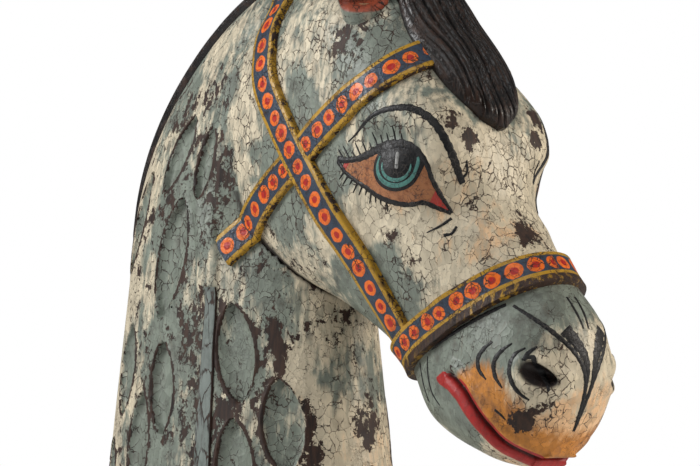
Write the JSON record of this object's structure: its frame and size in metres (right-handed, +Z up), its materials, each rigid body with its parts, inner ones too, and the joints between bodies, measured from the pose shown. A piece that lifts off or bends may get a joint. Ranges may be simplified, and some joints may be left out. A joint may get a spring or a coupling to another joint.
{
  "type": "carved horse head bust",
  "caption": "Free-standing carved and painted wooden horse head on its neck, with relief bridle straps, separate ears, forelock and crest.",
  "frame": {"origin": "middle of the flat cut face at the bottom of the neck", "axes": "+Z up, the horse looks along -Y, its own right side is at -X"},
  "size_m": [0.1359, 0.3973, 0.423],
  "materials": {
    "body_paint": "crackled grey-green and cream paint over dark brown wood, worn at the edges",
    "muzzle_paint": "crackled cream and ochre paint with red lips",
    "bridle_paint": "dark blue paint with mustard edges and orange-red dots",
    "dark_hair_paint": "satin black paint rubbed through to brown",
    "ear_paint": "grey-green paint outside, red-orange inside",
    "bare_wood": "unfinished hardwood"
  },
  "bodies": {
    "root": {"collar_dowels": "bare_wood", "ear_tenons": "bare_wood", "forelock": "dark_hair_paint", "head_dowels": "bare_wood", "head_left_half": "body_paint", "head_right_half": "body_paint", "left_brow_strap": "bridle_paint", "left_cheek_strap": "bridle_paint", "left_crown_strap": "bridle_paint", "left_ear": "ear_paint", "left_seam_strip": "body_paint", "left_throat_strap": "bridle_paint", "mane_crest": "dark_hair_paint", "muzzle_block": "muzzle_paint", "muzzle_dowels": "bare_wood", "neck_dowels": "bare_wood", "neck_front_block": "body_paint", "neck_rear_block": "body_paint", "noseband": "bridle_paint", "right_brow_strap": "bridle_paint", "right_cheek_strap": "bridle_paint", "right_crown_strap": "bridle_paint", "right_ear": "ear_paint", "right_seam_strip": "body_paint", "right_throat_strap": "bridle_paint"}
  },
  "joints": []
}
